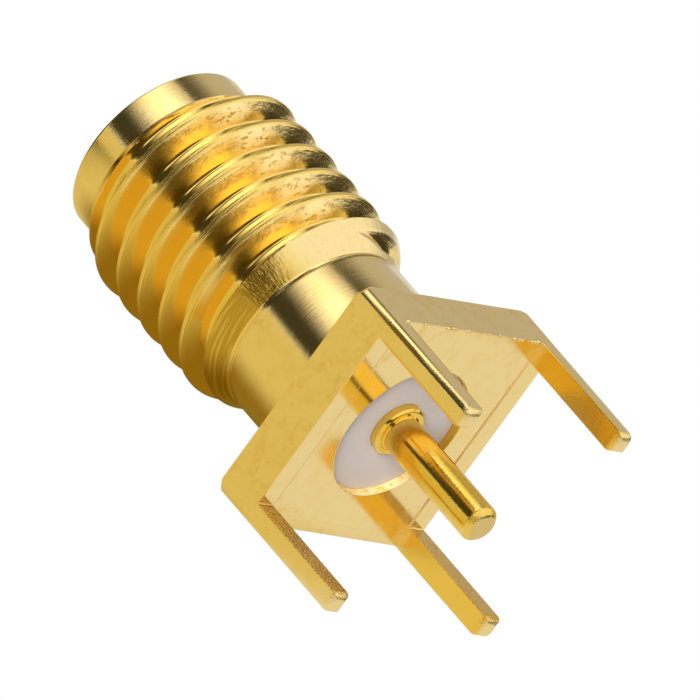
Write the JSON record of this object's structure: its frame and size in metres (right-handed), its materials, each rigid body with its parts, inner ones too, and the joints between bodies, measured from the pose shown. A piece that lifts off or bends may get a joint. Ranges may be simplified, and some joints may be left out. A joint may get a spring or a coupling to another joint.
{
  "type": "coaxial connector",
  "caption": "Miniature gold-plated coaxial jack with a threaded barrel, a square flange with solder legs, a white insulator and a centre contact, for soldering to a circuit board.",
  "frame": {"origin": "on the barrel's axis, at the flange's underside, which seats on the board", "axes": "+Z along the barrel, from the board to the mating end; X and Y along the flange's sides"},
  "size_m": [0.005, 0.005, 0.0109],
  "materials": {
    "gold_plated_body": "bright gold plate over turned and milled brass",
    "ptfe": "turned white PTFE",
    "gold_plated_contact": "bright gold plate over a turned contact"
  },
  "bodies": {
    "root": {"body": "gold_plated_body", "insulator": "ptfe", "centre_contact": "gold_plated_contact"}
  },
  "joints": []
}
